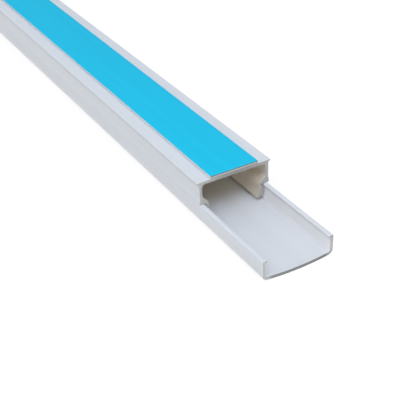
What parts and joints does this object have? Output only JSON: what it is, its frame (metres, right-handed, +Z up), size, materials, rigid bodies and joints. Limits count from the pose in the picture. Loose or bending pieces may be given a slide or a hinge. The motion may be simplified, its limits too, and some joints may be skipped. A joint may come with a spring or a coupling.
{
  "type": "cord cover raceway",
  "caption": "Slim white plastic raceway that hides cords on a wall: a channel with an adhesive back and a clip-on cover that slides along it.",
  "frame": {"origin": "on the floor, under the middle of the whole part with its cover drawn out", "axes": "+X along the raceway towards the end where the cover stands out, +Y across it, +Z up, with the cover below and the adhesive back on top"},
  "size_m": [0.4346, 0.027, 0.0171],
  "materials": {
    "white_plastic": "smooth extruded satin",
    "foam_tape": "fine closed-cell foam",
    "blue_liner": "smooth film"
  },
  "bodies": {
    "base": {"base_channel": "white_plastic", "adhesive_tape": "foam_tape", "release_liner": "blue_liner"},
    "cover": {"cover": "white_plastic"}
  },
  "joints": [
    {"name": "cover_slide", "type": "slide", "parent": "base", "child": "cover", "axis": [1, 0, 0], "range_m": [-0.03455, 0.31545]}
  ]
}
